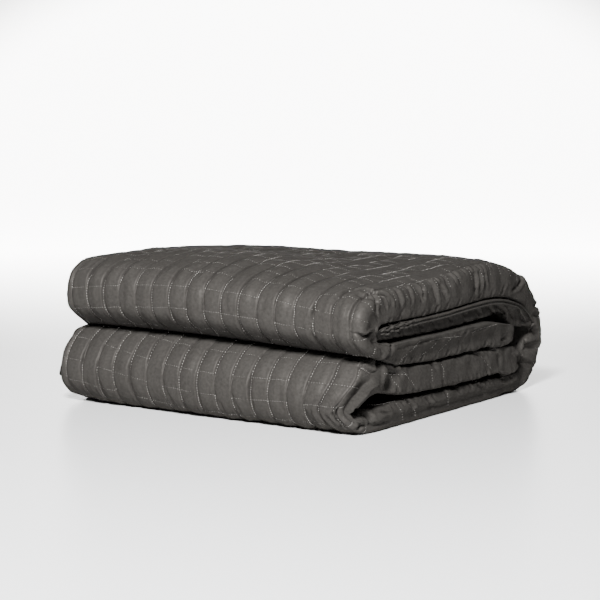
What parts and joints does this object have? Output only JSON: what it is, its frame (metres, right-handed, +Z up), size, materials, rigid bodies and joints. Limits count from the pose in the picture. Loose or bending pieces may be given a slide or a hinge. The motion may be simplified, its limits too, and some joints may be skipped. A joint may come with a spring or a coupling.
{
  "type": "weighted blanket",
  "caption": "Quilted blanket folded into a block of two packets, with rounded folds at the front and one fold as a spine at the back.",
  "frame": {"origin": "bottom centre of the block's bounding box, on the surface it rests on", "axes": "+X runs along the folds, -Y faces the two front rolls, +Y the spine, +Z is up"},
  "size_m": [0.4404, 0.4602, 0.1819],
  "materials": {
    "quilted_cloth": "dark charcoal woven cloth with a faint sheen, quilted in interlaced squares"
  },
  "bodies": {
    "root": {"blanket": "quilted_cloth"}
  },
  "joints": []
}
